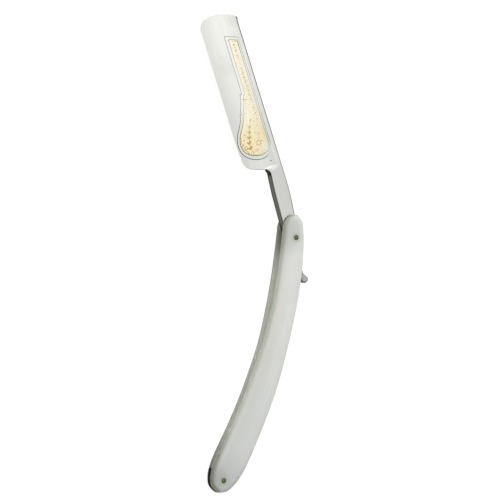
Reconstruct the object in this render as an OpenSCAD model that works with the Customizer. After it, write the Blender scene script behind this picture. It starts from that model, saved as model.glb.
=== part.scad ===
// Folding straight razor, lying open on its back scale.
// Millimetres. The pivot axis is Z through the origin, the surface it lies on is z = 0,
// +Y runs from the wedge pin to the pivot and -X is the side that the blade folds in from.

/* [Handle] */
// Distance between the pivot axis and the wedge pin's axis
pin_span = 132.4; // [120:0.2:150]
// Width of the handle at its widest
handle_w = 18; // [16.5:0.1:20]
// How far the handle runs past the pivot axis
head_reach = 11.6; // [10:0.1:13]
// How far the handle runs past the wedge pin's axis
foot_reach = 6.5; // [6:0.1:8.5]
// Thickness of each scale
scale_t = 2.6; // [2:0.1:3.4]
// Width of the rounding along a scale's outer edge
scale_round_w = 4.1; // [2:0.1:4.6]
// Height of the square rim under the rounding
scale_rim = 0.35; // [0.1:0.05:0.8]
// Room between the scales at the pivot
pivot_gap = 5.6; // [5.3:0.1:6.4]
// Room between the scales along their middle
middle_gap = 3.3; // [3:0.1:4]

/* [Wedge] */
// How far the wedge's square end stands above the wedge pin's axis
wedge_above = 4.3; // [3:0.1:6]
// Slope of each of the wedge's faces, as rise over run
wedge_slope = 0.045; // [0.01:0.005:0.06]

/* [Blade] */
// Distance from the pivot axis to the end of the blade
blade_reach = 123.4; // [112:0.1:126]
// Distance from the pivot axis to the shoulder, where the grind ends
shoulder_y = 37; // [34:0.5:42]
// Distance from the pivot axis to the heel of the edge
heel_y = 40.4; // [38.5:0.1:46]
// How far the edge lies from the line through the pivot
edge_x = 15; // [12.5:0.1:15.5]
// How far the blade's back lies from that line
back_x = 6.5; // [6:0.1:7.2]
// Radius of the round point on the edge's side
toe_r = 5.2; // [4:0.1:8]
// Radius of the small corner where the point meets the back
toe_corner_r = 0.8; // [0.5:0.1:3]
// Radius of the heel
heel_r = 6.7; // [3:0.1:7]
// How far the edge runs in at the heel
heel_inset = 0.6; // [0:0.1:1]
// Radius of the wheel that ground the hollows
grind_r = 60; // [50:1:90]
// Radius of that wheel's corner, left at the shoulder
grind_corner_r = 2.5; // [1:0.1:3]
// Distance from the edge to the thinnest line of the hollows
thin_line = 2; // [1:0.1:4]
// Thickness at the thinnest line
thin_t = 0.2; // [0.12:0.02:0.4]
// Thickness of the keen edge itself
edge_t = 0.06; // [0.04:0.01:0.1]
// Width of the honed bevel's cut
bevel_w = 3; // [2:0.1:4]
// Thickness of the back near the point
toe_t = 4.4; // [3.8:0.1:4.8]
// Radius of the rounding along the back
back_round_r = 1.3; // [0.5:0.1:1.8]

/* [Tang and tail] */
// Thickness of the tang
tang_t = 4.8; // [4.4:0.1:4.9]
// Width of the tang at its widest
tang_w = 8.4; // [8:0.1:9.2]
// Distance from the pivot axis to the end of the tail
tail_reach = 24.8; // [20:0.2:28]
// Radius of the tail's blunt end
tail_tip_r = 2; // [1.6:0.1:2.2]
// Thickness of the tail at its end
tail_t = 3.2; // [2.4:0.1:4]

/* [Pins] */
// Radius of both pins
pin_r = 0.8; // [0.6:0.05:1]
// Running clearance of the tang round the pivot pin, on the radius
pivot_play = 0.05; // [0.02:0.01:0.1]
// Clearance of what is fixed on a pin, on the radius
fixed_play = 0.02; // [0.01:0.01:0.05]
// Radius of the small collars let into the scales
collar_r = 1.3; // [1.2:0.05:1.8]
// Thickness of a collar
collar_t = 0.5; // [0.3:0.1:0.8]
// Radius of a peened head
head_r = 1; // [0.9:0.05:1.15]
// Height of a peened head
head_h = 0.28; // [0.1:0.02:0.4]
// Radius of the washers between the tang and the scales
washer_r = 2.5; // [2:0.1:3]
// Play left between the tang and each washer
washer_play = 0.03; // [0.01:0.01:0.05]

/* [Pose] */
// Turn of the blade from in line with the handle, towards the side that it folds in from
open_turn = 37.5; // [20:0.5:60]

/* [Hidden] */
$fn = 96;

// Each row of the handle's sides is [along, concave side, convex side].
// Along is a share of head_reach, of pin_span or of foot_reach, across a share of handle_w.
head_tip_share = -0.13;
head_shares = [[0.93, -0.3, 0.01], [0.72, -0.41, 0.13], [0.4, -0.45, 0.225]];
side_shares = [
  [0, -0.405, 0.32], [0.09, -0.28, 0.5], [0.2, -0.15, 0.645], [0.32, -0.06, 0.75],
  [0.44, -0.02, 0.82], [0.56, -0.06, 0.855], [0.68, -0.13, 0.815], [0.8, -0.25, 0.725],
  [0.905, -0.38, 0.62], [0.975, -0.42, 0.5]
];
foot_shares = [[0.42, -0.34, 0.335], [0.8, -0.21, 0.2]];
foot_tip_share = 0;
// How much narrower the rounding gets where it goes round the two ends
end_round_share = 0.4;
// Where along pin_span the scales start to draw together, and where they are parallel again
draw_start_share = 0.2;
draw_end_share = 0.58;
// Where along pin_span they start to follow the wedge
wedge_bend_share = 0.87;
// Steps in each span of the outline, and across the rounding of an edge
outline_steps = 10;
round_steps = 6;

// Each row of the tang's sides is [along, belly, back]: shares of shoulder_y and tang_w.
tang_shares = [
  [0.97, -0.19, 0.774], [0.9, -0.215, 0.774], [0.8, -0.255, 0.774], [0.65, -0.31, 0.76],
  [0.5, -0.34, 0.705], [0.34, -0.37, 0.635], [0.16, -0.39, 0.545], [0, -0.405, 0.46]
];
// The same down the tail: shares of tail_reach and tang_w
tail_shares = [
  [0.2, -0.405, 0.33], [0.42, -0.385, 0.18], [0.62, -0.37, 0.065], [0.77, -0.345, -0.005]
];
tail_tip_share = -0.042;
tail_thin_share = 0.25;
// The blunt end's arc, from the back round to the belly
tail_tip_from = 25;
tail_tip_to = -160;
// Where the point's arcs meet, and the slope of the heel
toe_crown_angle = 101;
toe_corner_angle = 54;
heel_slope = 19;
// The corner between the heel and the tang's belly, as a share of tang_w
notch_share = 0.31;
// The edge starts to run in at this share of the blade's length
heel_run_share = 0.17;

// Overrun of every cut
over = 5;

pivot_half = pivot_gap / 2;
middle_half = middle_gap / 2;
mid_z = scale_t + pivot_half;
draw_start_y = -draw_start_share * pin_span;
draw_end_y = -draw_end_share * pin_span;
wedge_top_y = wedge_above - pin_span;
wedge_bend_y = -wedge_bend_share * pin_span;
wedge_top_half = middle_half - wedge_slope * (wedge_bend_y - wedge_top_y) / 2;
washer_t = (pivot_gap - tang_t) / 2 - washer_play;

function ease(t) = 3 * t ^ 2 - 2 * t ^ 3;

// Half of the room between the scales at a place along the handle
function half_gap(y) =
  y > draw_start_y ? pivot_half
  : y > draw_end_y ? middle_half + (pivot_half - middle_half)
      * ease((y - draw_end_y) / (draw_start_y - draw_end_y))
  : y > wedge_bend_y ? middle_half
  : y > wedge_top_y ? middle_half - wedge_slope * (wedge_bend_y - y) ^ 2
      / (2 * (wedge_bend_y - wedge_top_y))
  : wedge_top_half - wedge_slope * (wedge_top_y - y);

// Height of the back scale's outer face at a place along the handle
function outer_z(y) = mid_z - half_gap(y) - scale_t;

function arc(centre, r, from, to, steps) =
  [for (k = [0:steps]) let (a = from + (to - from) * k / steps) centre + r * [cos(a), sin(a)]];

// A smooth curve through points, which passes through each of them
function span_point(a, b, c, d, t) =
  (2 * b + (c - a) * t + (2 * a - 5 * b + 4 * c - d) * t ^ 2
    + (3 * b - a - 3 * c + d) * t ^ 3) / 2;

function smooth_line(points, steps) =
  let (last = len(points) - 1)
  [
    for (i = [0:last - 1], k = [0:steps - 1])
      span_point(points[max(i - 1, 0)], points[i], points[i + 1], points[min(i + 2, last)],
        k / steps),
    points[last]
  ];

function smooth_loop(points, steps) =
  let (n = len(points))
  [
    for (i = [0:n - 1], k = [0:steps - 1])
      span_point(points[(i + n - 1) % n], points[i], points[(i + 1) % n],
        points[(i + 2) % n], k / steps)
  ];

// The handle's outline, clockwise from the end past the pivot
handle_rows = concat(
  [for (row = head_shares) [row[0] * head_reach, row[1] * handle_w, row[2] * handle_w]],
  [for (row = side_shares) [-row[0] * pin_span, row[1] * handle_w, row[2] * handle_w]],
  [for (row = foot_shares)
    [-pin_span - row[0] * foot_reach, row[1] * handle_w, row[2] * handle_w]]
);
handle_outline = smooth_loop(
  concat(
    [[head_tip_share * handle_w, head_reach]],
    [for (row = handle_rows) [row[2], row[0]]],
    [[foot_tip_share * handle_w, -pin_span - foot_reach]],
    [for (i = [len(handle_rows) - 1:-1:0]) [handle_rows[i][1], handle_rows[i][0]]]
  ),
  outline_steps
);

// The outline's direction outwards at each of its points
function outward(i) =
  let (
    n = len(handle_outline),
    d = handle_outline[(i + 1) % n] - handle_outline[(i + n - 1) % n]
  )
  [-d[1], d[0]] / norm(d);

// One ring of a scale: the outline drawn in by an inset, at a height over the inner face
function scale_ring(inset, height) =
  [
    for (i = [0:len(handle_outline) - 1])
      let (
        out = outward(i),
        p = handle_outline[i] - inset * (1 - end_round_share * out[1] ^ 2) * out
      )
      [p[0], p[1], mid_z - half_gap(p[1]) - height]
  ];

// The back scale as rings from its inner face over the rounded edge to its outer face
module scale_blank() {
  n = len(handle_outline);
  rings = concat(
    [scale_ring(0, 0)],
    [
      for (k = [0:round_steps])
        let (a = 90 * k / round_steps)
        scale_ring(scale_round_w * (1 - cos(a)), scale_rim + (scale_t - scale_rim) * sin(a))
    ]
  );
  top = (len(rings) - 1) * n;
  sides = [
    for (j = [0:len(rings) - 2], i = [0:n - 1], half = [0, 1])
      let (a = j * n + i, b = j * n + (i + 1) % n)
      half == 0 ? [a, b + n, b] : [a, a + n, b + n]
  ];
  inner = [
    for (i = [0:n / 2 - 1], half = [0, 1])
      let (a = i, b = i + 1, c = (n - i) % n, d = n - i - 1)
      half == 0 ? [a, b, d] : [a, d, c]
  ];
  outer = [
    for (i = [0:n / 2 - 1], half = [0, 1])
      let (a = i, b = i + 1, c = (n - i) % n, d = n - i - 1)
      half == 0 ? [top + a, top + d, top + b] : [top + a, top + c, top + d]
  ];
  faces = [
    for (f = concat(sides, inner, outer))
      if (f[0] != f[1] && f[1] != f[2] && f[0] != f[2]) f
  ];
  polyhedron(points = [for (ring = rings) each ring], faces = faces, convexity = 4);
}

// A pin's hole and its collar's seat, cut into the back scale
module pin_seat(y) {
  translate([0, y, outer_z(y) - over]) cylinder(r = pin_r + fixed_play, h = scale_t + 2 * over);
  translate([0, y, outer_z(y) - over])
    cylinder(r = collar_r + fixed_play, h = over + collar_t);
}

// Moves a piece of the back half to the same place on the front half
module front_half() {
  translate([0, 0, 2 * mid_z]) mirror([0, 0, 1]) children();
}

module back_scale_shape() {
  difference() {
    scale_blank();
    pin_seat(0);
    pin_seat(-pin_span);
  }
}

module back_scale() {
  color("ivory") back_scale_shape();
}

module front_scale() {
  color("ivory") front_half() back_scale_shape();
}

module wedge() {
  foot_y = -pin_span - foot_reach;
  color("#1b1a19")
    difference() {
      intersection() {
        translate([0, 0, mid_z - pivot_half]) linear_extrude(pivot_gap) polygon(handle_outline);
        translate([-handle_w, 0, mid_z])
          rotate([90, 0, 90])
            linear_extrude(2 * handle_w)
              polygon([
                [wedge_top_y, wedge_top_half],
                [wedge_top_y, -wedge_top_half],
                [foot_y, -half_gap(foot_y)],
                [foot_y, half_gap(foot_y)]
              ]);
      }
      translate([0, -pin_span, mid_z - pivot_half - over])
        cylinder(r = pin_r + fixed_play, h = pivot_gap + 2 * over);
    }
}

// A ring on the back half, with its face at a height and its bore round a pin
module ring(y, z, r, t) {
  translate([0, y, z])
    difference() {
      cylinder(r = r, h = t);
      translate([0, 0, -over]) cylinder(r = pin_r + fixed_play, h = t + 2 * over);
    }
}

module collar(y) {
  color("#6f6a3c") ring(y, outer_z(y), collar_r, collar_t);
}

module washer() {
  color("#b08d45") ring(0, scale_t, washer_r, washer_t);
}

// The spherical head that peening leaves, standing on the plane z = 0
module peened_head() {
  dome_r = (head_r ^ 2 + head_h ^ 2) / (2 * head_h);
  intersection() {
    translate([0, 0, head_h - dome_r]) sphere(r = dome_r);
    cylinder(r = 2 * head_r, h = 2 * head_h);
  }
}

// The pivot pin is filed flush at the back, where the razor lies on it, and peened in front
module pivot_pin() {
  color("#9a8a4a") {
    cylinder(r = pin_r, h = 2 * mid_z);
    translate([0, 0, 2 * mid_z]) peened_head();
  }
}

module wedge_pin() {
  low = outer_z(-pin_span);
  color("#9a8a4a")
    translate([0, -pin_span, 0]) {
      translate([0, 0, low]) cylinder(r = pin_r, h = 2 * (mid_z - low));
      translate([0, 0, 2 * mid_z - low]) peened_head();
      translate([0, 0, low]) mirror([0, 0, 1]) peened_head();
    }
}

// The blade, seen flat, with the pivot at the origin, +Y to the point and -X to the edge.
// The point is three arcs that run into each other, and the middle one's top is the end.
function toe_outline() =
  let (
    c1_x = toe_r - edge_x,
    u = [cos(toe_crown_angle), sin(toe_crown_angle)],
    v = [cos(toe_corner_angle), sin(toe_corner_angle)],
    crown_r = (back_x - c1_x - toe_r * u[0] - toe_corner_r * (1 - v[0])) / (v[0] - u[0]),
    c2 = [c1_x + (toe_r - crown_r) * u[0], blade_reach - crown_r],
    c1 = c2 + (crown_r - toe_r) * u,
    c3 = c2 + (crown_r - toe_corner_r) * v
  )
  concat(
    arc(c1, toe_r, 180, toe_crown_angle, 16),
    arc(c2, crown_r, toe_crown_angle, toe_corner_angle, 8),
    arc(c3, toe_corner_r, toe_corner_angle, 0, 8)
  );

function heel_outline() =
  let (
    c = [heel_inset + heel_r - edge_x, heel_y + heel_r],
    bottom = c - heel_r * [sin(heel_slope), cos(heel_slope)],
    notch_x = -notch_share * tang_w
  )
  concat(
    [[notch_x, bottom[1] - (notch_x - bottom[0]) * tan(heel_slope)]],
    arc(c, heel_r, 270 - heel_slope, 180, 12),
    [[-edge_x, heel_y + heel_run_share * (blade_reach - heel_y)]]
  );

tail_tip = arc([tail_tip_share * tang_w, tail_tip_r - tail_reach], tail_tip_r,
  tail_tip_from, tail_tip_to, 12);

module blade_plan() {
  back = concat(
    [[back_x, blade_reach / 2]],
    [for (row = tang_shares) [row[2] * tang_w, row[0] * shoulder_y]],
    [for (row = tail_shares) [row[2] * tang_w, -row[0] * tail_reach]],
    [tail_tip[0]]
  );
  belly = concat(
    [tail_tip[len(tail_tip) - 1]],
    [for (i = [len(tail_shares) - 1:-1:0])
      [tail_shares[i][1] * tang_w, -tail_shares[i][0] * tail_reach]],
    [for (i = [len(tang_shares) - 1:-1:0])
      [tang_shares[i][1] * tang_w, tang_shares[i][0] * shoulder_y]]
  );
  polygon(concat(
    heel_outline(), toe_outline(), smooth_line(back, 4), tail_tip, smooth_line(belly, 4)
  ));
}

// A section's outline from its upper half
function both_faces(upper) =
  concat(upper, [for (i = [len(upper) - 1:-1:0]) [upper[i][0], -upper[i][1]]]);

// The blade's thickness across its width: keen edge, honed bevel, then the round back
module blade_cross() {
  half_t = tang_t / 2;
  bevel_half = edge_t / 2 + bevel_w * half_t / (edge_x + back_x);
  upper = concat(
    [[-edge_x, edge_t / 2], [bevel_w - edge_x, bevel_half], [bevel_w - edge_x, half_t]],
    arc([back_x - back_round_r, half_t - back_round_r], back_round_r, 90, 0, 8)
  );
  polygon(both_faces(upper));
}

// The blade's thickness along its length, from the tail's end to the point
module blade_side() {
  half_t = tang_t / 2;
  upper = [
    [-tail_reach, tail_t / 2], [-tail_thin_share * tail_reach, half_t],
    [shoulder_y, half_t], [blade_reach, toe_t / 2]
  ];
  polygon(both_faces(upper));
}

// The wheel that hollows one side, with its round corner at the shoulder
module grind_wheel() {
  wheel_len = blade_reach - shoulder_y + over;
  translate([thin_line - edge_x, shoulder_y, thin_t / 2 + grind_r])
    rotate([-90, 0, 0])
      rotate_extrude($fn = 360)
        union() {
          square([grind_r - grind_corner_r, wheel_len]);
          translate([0, grind_corner_r])
            square([grind_r, wheel_len - grind_corner_r]);
          translate([grind_r - grind_corner_r, grind_corner_r]) circle(r = grind_corner_r);
        }
}

module blade_shape() {
  difference() {
    intersection() {
      translate([0, 0, -tang_t]) linear_extrude(2 * tang_t) blade_plan();
      translate([0, blade_reach, 0])
        rotate([90, 0, 0]) linear_extrude(blade_reach + tail_reach) blade_cross();
      translate([-edge_x - over, 0, 0])
        rotate([90, 0, 90]) linear_extrude(edge_x + back_x + 2 * over) blade_side();
    }
    grind_wheel();
    mirror([0, 0, 1]) grind_wheel();
    translate([0, 0, -tang_t]) cylinder(r = pin_r + pivot_play, h = 2 * tang_t);
  }
}

module blade() {
  color("#c9ccc8") translate([0, 0, mid_z]) rotate([0, 0, open_turn]) blade_shape();
}

module front_washer() { front_half() washer(); }
module back_washer() { washer(); }
module front_pivot_collar() { front_half() collar(0); }
module back_pivot_collar() { collar(0); }
module front_wedge_collar() { front_half() collar(-pin_span); }
module back_wedge_collar() { collar(-pin_span); }

blade();
front_scale();
back_scale();
wedge();
pivot_pin();
wedge_pin();
front_washer();
back_washer();
front_pivot_collar();
back_pivot_collar();
front_wedge_collar();
back_wedge_collar();
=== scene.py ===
# %% [markdown]
# # An open straight razor
#
# The razor lies open on a pale table and is seen from above. Its solids come from a packed
# CAD model, which is imported first and never moved. Every piece made here is placed in the
# same frame: the pivot's axis is the Z axis through the origin, the table is z = 0, +Y runs
# from the handle's foot to the pivot, and the blade folds in from -X.

import math

import bmesh
import bpy
import numpy as np
from mathutils import Matrix, Vector


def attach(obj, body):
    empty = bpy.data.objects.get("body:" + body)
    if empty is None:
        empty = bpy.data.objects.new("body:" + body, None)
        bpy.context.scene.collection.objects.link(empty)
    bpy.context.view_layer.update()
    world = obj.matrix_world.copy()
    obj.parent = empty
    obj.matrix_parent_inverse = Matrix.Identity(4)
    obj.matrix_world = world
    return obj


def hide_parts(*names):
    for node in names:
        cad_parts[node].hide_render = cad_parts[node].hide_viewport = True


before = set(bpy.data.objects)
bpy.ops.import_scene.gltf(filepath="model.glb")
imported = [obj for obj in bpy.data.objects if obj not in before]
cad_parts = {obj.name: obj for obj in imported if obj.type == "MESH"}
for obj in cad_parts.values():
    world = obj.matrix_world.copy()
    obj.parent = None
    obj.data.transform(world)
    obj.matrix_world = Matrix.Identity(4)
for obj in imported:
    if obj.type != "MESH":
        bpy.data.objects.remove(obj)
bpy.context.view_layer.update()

# %% [markdown]
# ## The camera
#
# The camera comes first, because every later look at the razor goes through it. The
# photograph was taken from a long way off, so its lines hardly converge. It looks down on
# the razor from 28 degrees to the side of the handle's concave edge, which is why the far
# scale shows as a strip at the left. A very long lens at four metres gives that view.

# %% Place the camera
MM = 0.001
MID_Z = 5.4  # height of the blade's middle plane, in millimetres, as everything below

VIEW_ROLL = math.radians(18.3)
VIEW_TILT = math.radians(27.8)
VIEW_AWAY = 4000
VIEW_WIDTH = 260
VIEW_OFF_RIGHT = -21.52
VIEW_OFF_UP = -6.46

across = Vector((math.cos(VIEW_ROLL), math.sin(VIEW_ROLL), 0))
image_up = Vector((-math.sin(VIEW_ROLL), math.cos(VIEW_ROLL), 0))
image_right = math.cos(VIEW_TILT) * across + math.sin(VIEW_TILT) * Vector((0, 0, 1))
towards_camera = image_right.cross(image_up)
middle = Vector((0, 0, MID_Z)) + VIEW_OFF_RIGHT * image_right + VIEW_OFF_UP * image_up

lens = bpy.data.cameras.new("long_lens")
lens.sensor_width = 36
lens.lens = lens.sensor_width * VIEW_AWAY / VIEW_WIDTH
lens.clip_end = 20
camera = bpy.data.objects.new("camera", lens)
turn = Matrix((image_right, image_up, towards_camera)).transposed().to_4x4()
camera.matrix_world = Matrix.Translation((middle + VIEW_AWAY * towards_camera) * MM) @ turn
bpy.context.scene.collection.objects.link(camera)
bpy.context.scene.camera = camera
print("Camera at", [round(x, 3) for x in camera.location], "with a lens of", round(lens.lens), "mm")

# %% [markdown]
# ## From arrays to pieces
#
# Each piece below is worked out as an array of points in millimetres. Most are a stack of
# closed loops: row by row round the section, and row after row along the piece. Where a
# piece ends, its last loop shrinks to a point or a line, and merging the doubled points
# there closes it. The same helper turns the faces outwards, and marks an edge as sharp
# where two faces meet at more than 35 degrees, so that the rest can be shaded smooth.

# %% Turn an array of points into a mesh piece
SHARP_ANGLE = math.radians(35)
DOUBLE_GAP = 0.002


def loop_faces(rows, columns, around=True, ends_meet=False):
    """Four-cornered faces between neighbouring rows of a grid.

    Row i holds the points i * columns to (i + 1) * columns - 1. With around, the last
    column is joined to the first, and with ends_meet the last row to the first.
    """
    i = np.arange(rows if ends_meet else rows - 1)[:, None]
    j = np.arange(columns if around else columns - 1)[None, :]
    i_next, j_next = (i + 1) % rows, (j + 1) % columns
    corners = (i * columns + j, i * columns + j_next, i_next * columns + j_next, i_next * columns + j)
    return np.stack(np.broadcast_arrays(*corners), -1).reshape(-1, 4)


def finish_mesh(mesh):
    """Merges doubled points, turns the faces outwards and marks the sharp edges."""
    work = bmesh.new()
    work.from_mesh(mesh)
    bmesh.ops.remove_doubles(work, verts=work.verts, dist=DOUBLE_GAP * MM)
    bmesh.ops.recalc_face_normals(work, faces=work.faces)
    work.to_mesh(mesh)
    work.free()
    mesh.shade_smooth()
    mesh.set_sharp_from_angle(angle=SHARP_ANGLE)


def make_piece(name, points, faces, marks=None):
    """A mesh object from points in millimetres and rows of face corners.

    marks is a dict of arrays with one number for each point. Each is kept as an attribute
    of that name, which a material can read.
    """
    mesh = bpy.data.meshes.new(name)
    mesh.from_pydata((np.asarray(points).reshape(-1, 3) * MM).tolist(), [], faces.tolist())
    for mark, values in (marks or {}).items():
        layer = mesh.attributes.new(mark, "FLOAT", "POINT")
        layer.data.foreach_set("value", np.asarray(values, np.float32).ravel())
    finish_mesh(mesh)
    piece = bpy.data.objects.new(name, mesh)
    bpy.context.scene.collection.objects.link(piece)
    print(f"{name}: {len(mesh.vertices)} points, {len(mesh.polygons)} faces")
    return piece


def turned(name, profile, axis_y, closed=False, steps=96, ripple=0.0):
    """A piece turned round an upright axis at x = 0 and y = axis_y.

    profile is a line of [radius, height] points. A point at turn a is at
    (radius * cos(a), axis_y + radius * sin(a), height). A ripple tilts what stands over the
    front scale up and down three times round, as the blows of a hammer leave it.
    """
    radius, height = np.asarray(profile, float).T
    a = np.linspace(0, 2 * math.pi, steps, endpoint=False)[:, None]
    z = height + ripple * radius * np.cos(3 * a + 0.7) * (height > 2 * MID_Z)
    x, y, z = np.broadcast_arrays(radius * np.cos(a), axis_y + radius * np.sin(a), z)
    faces = loop_faces(steps, len(radius), around=closed, ends_meet=True)
    return make_piece(name, np.stack([x, y, z], -1), faces)


def mirror_front(points):
    """The same points on the other side of the blade's middle plane: the last number turns."""
    turned_over = np.array(points, float)
    turned_over[..., -1] = 2 * MID_Z - turned_over[..., -1]
    return turned_over


# %% [markdown]
# ## Smooth lines
#
# A maker draws a handle with a few pencil marks and a flexible strip of wood laid through
# them. The sum for that is a Catmull-Rom curve: it passes through every mark, and leaves
# each one in the direction from the mark before it to the mark after it.

# %% Draw a smooth line through marks
def smooth(marks, steps, closed=False):
    """A Catmull-Rom curve through the marks, with a number of steps from mark to mark.

    Between b and c, with a before and d after, the point at t from 0 to 1 is half of
    2b + (c - a)t + (2a - 5b + 4c - d)t^2 + (3b - a - 3c + d)t^3.
    """
    p = np.asarray(marks, float)
    q = np.vstack([p[-1:], p, p[:2]] if closed else [p[:1], p, p[-1:]])
    spans = len(p) if closed else len(p) - 1
    a, b, c, d = (q[k : k + spans, None] for k in range(4))
    t = (np.arange(steps) / steps)[None, :, None]
    curve = 2 * b + (c - a) * t + (2 * a - 5 * b + 4 * c - d) * t**2
    curve = (curve + (3 * b - a - 3 * c + d) * t**3) / 2
    curve = curve.reshape(-1, p.shape[1])
    return curve if closed else np.vstack([curve, p[-1:]])


def arc(centre, radius, start, end, steps):
    """Points on a circle, from one angle in degrees to another, +X being 0."""
    a = np.radians(np.linspace(start, end, steps + 1))
    return np.asarray(centre, float) + radius * np.stack([np.cos(a), np.sin(a)], -1)


def spread(line, count):
    """That many points, evenly spaced by their distance along a line."""
    line = np.asarray(line, float)
    far = np.concatenate([[0], np.cumsum(np.hypot(*np.diff(line, axis=0).T))])
    at = np.linspace(0, far[-1], count)
    return np.stack([np.interp(at, far, line[:, k]) for k in range(2)], -1)


# %% [markdown]
# ## The scales
#
# The handle is two curved plates, which razor makers call scales. The real ones are sawn
# from sheet, and their outer edges are rounded on a buffing wheel. The CAD model's scales
# are made of small flat faces, so here each is replaced by a finer one of the same sizes.
# A modifier could round a flat plate, but it would not know that the two plates draw
# together along the handle. So each plate is a stack of loops: across the inner face, over
# the rounding at one side, across the outer face and down the rounding at the other side.

# %% The handle's sizes, as in the CAD model
PIN_SPAN = 132.4
HANDLE_W = 18
HEAD_REACH = 11.6
FOOT_REACH = 6.5
SCALE_T = 2.6
SCALE_ROUND_W = 4.1
SCALE_RIM = 0.35
END_ROUND_SHARE = 0.4
PIVOT_GAP_HALF = 2.8
MIDDLE_GAP_HALF = 1.65
WEDGE_ABOVE = 4.3
WEDGE_SLOPE = 0.045
DRAW_START_Y = -0.2 * PIN_SPAN
DRAW_END_Y = -0.58 * PIN_SPAN
WEDGE_BEND_Y = -0.87 * PIN_SPAN
WEDGE_TOP_Y = WEDGE_ABOVE - PIN_SPAN
WEDGE_TOP_HALF = MIDDLE_GAP_HALF - WEDGE_SLOPE * (WEDGE_BEND_Y - WEDGE_TOP_Y) / 2

# Each row is [along, concave side, convex side]: along from the pivot, as a share of
# HEAD_REACH, PIN_SPAN or FOOT_REACH, and across as shares of HANDLE_W.
HEAD_ROWS = [[0.93, -0.3, 0.01], [0.72, -0.41, 0.13], [0.4, -0.45, 0.225]]
SIDE_ROWS = [
    [0, -0.405, 0.32], [0.09, -0.28, 0.5], [0.2, -0.15, 0.645], [0.32, -0.06, 0.75],
    [0.44, -0.02, 0.82], [0.56, -0.06, 0.855], [0.68, -0.13, 0.815], [0.8, -0.25, 0.725],
    [0.905, -0.38, 0.62], [0.975, -0.42, 0.5],
]
FOOT_ROWS = [[0.42, -0.34, 0.335], [0.8, -0.21, 0.2]]
HEAD_TIP = [-0.13 * HANDLE_W, HEAD_REACH]
FOOT_TIP = [0, -PIN_SPAN - FOOT_REACH]


def half_gap(y):
    """Half of the room between the scales at a place along the handle.

    It is even at the pivot, eases in over the upper half (3t^2 - 2t^3), is even again,
    bends in along a parabola, and then follows the wedge's straight faces.
    """
    t = np.clip((y - DRAW_END_Y) / (DRAW_START_Y - DRAW_END_Y), 0, 1)
    drawn = MIDDLE_GAP_HALF + (PIVOT_GAP_HALF - MIDDLE_GAP_HALF) * (3 * t**2 - 2 * t**3)
    bend = WEDGE_SLOPE * (WEDGE_BEND_Y - y) ** 2 / (2 * (WEDGE_BEND_Y - WEDGE_TOP_Y))
    straight = WEDGE_TOP_HALF - WEDGE_SLOPE * (WEDGE_TOP_Y - y)
    return np.where(y > WEDGE_BEND_Y, drawn, np.where(y > WEDGE_TOP_Y, MIDDLE_GAP_HALF - bend, straight))


def handle_outline(steps):
    """The handle's outline from the end past the pivot, down the convex side and back."""
    rows = [[a * HEAD_REACH, left, right] for a, left, right in HEAD_ROWS]
    rows += [[-a * PIN_SPAN, left, right] for a, left, right in SIDE_ROWS]
    rows += [[-PIN_SPAN - a * FOOT_REACH, left, right] for a, left, right in FOOT_ROWS]
    convex = [[right * HANDLE_W, y] for y, left, right in rows]
    concave = [[left * HANDLE_W, y] for y, left, right in rows]
    return smooth([HEAD_TIP, *convex, FOOT_TIP, *concave[::-1]], steps, closed=True)


outline = handle_outline(20)
bow_w, handle_l = np.ptp(outline, axis=0).round(1)
print("Handle:", handle_l, "mm long,", bow_w, "mm over its bow")

# %% Loft one scale through its loops
ROUND_STEPS = 12
FACE_STEPS = 14
EDGE_BREAK = 0.1  # a finger would feel a cut edge: the inner one is broken by this much
# The inner face's edge gets this share of painted rim shade, for the strip of the back scale that shows
INNER_RIM_SHADE = 0.55
# An oil stain with painted shade of the gap, on the inner faces near the pivot
OIL_SHADE_REACH, OIL_SHADE_FULL, OIL_SHADE_SHARE = 17, 6, 0.4
OIL_SHADE_BY_HEIGHT = [1, 0.9, 0.1]  # at the inner face, at the rim's top and at the outer face
OIL_SHADE_SIDE_X, OIL_SHADE_SIDE_FADE = 1, 5
BLACK_REACH, FRONT_BLACK_REACH, BLACK_FADE = 1.5, 0.1, 0.5
# Shares of painted rim shade on the front scale: all round, and more on the concave side
FRONT_RIM_SHARE, FRONT_SLOT_SHARE = 0.6, 0.07


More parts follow.
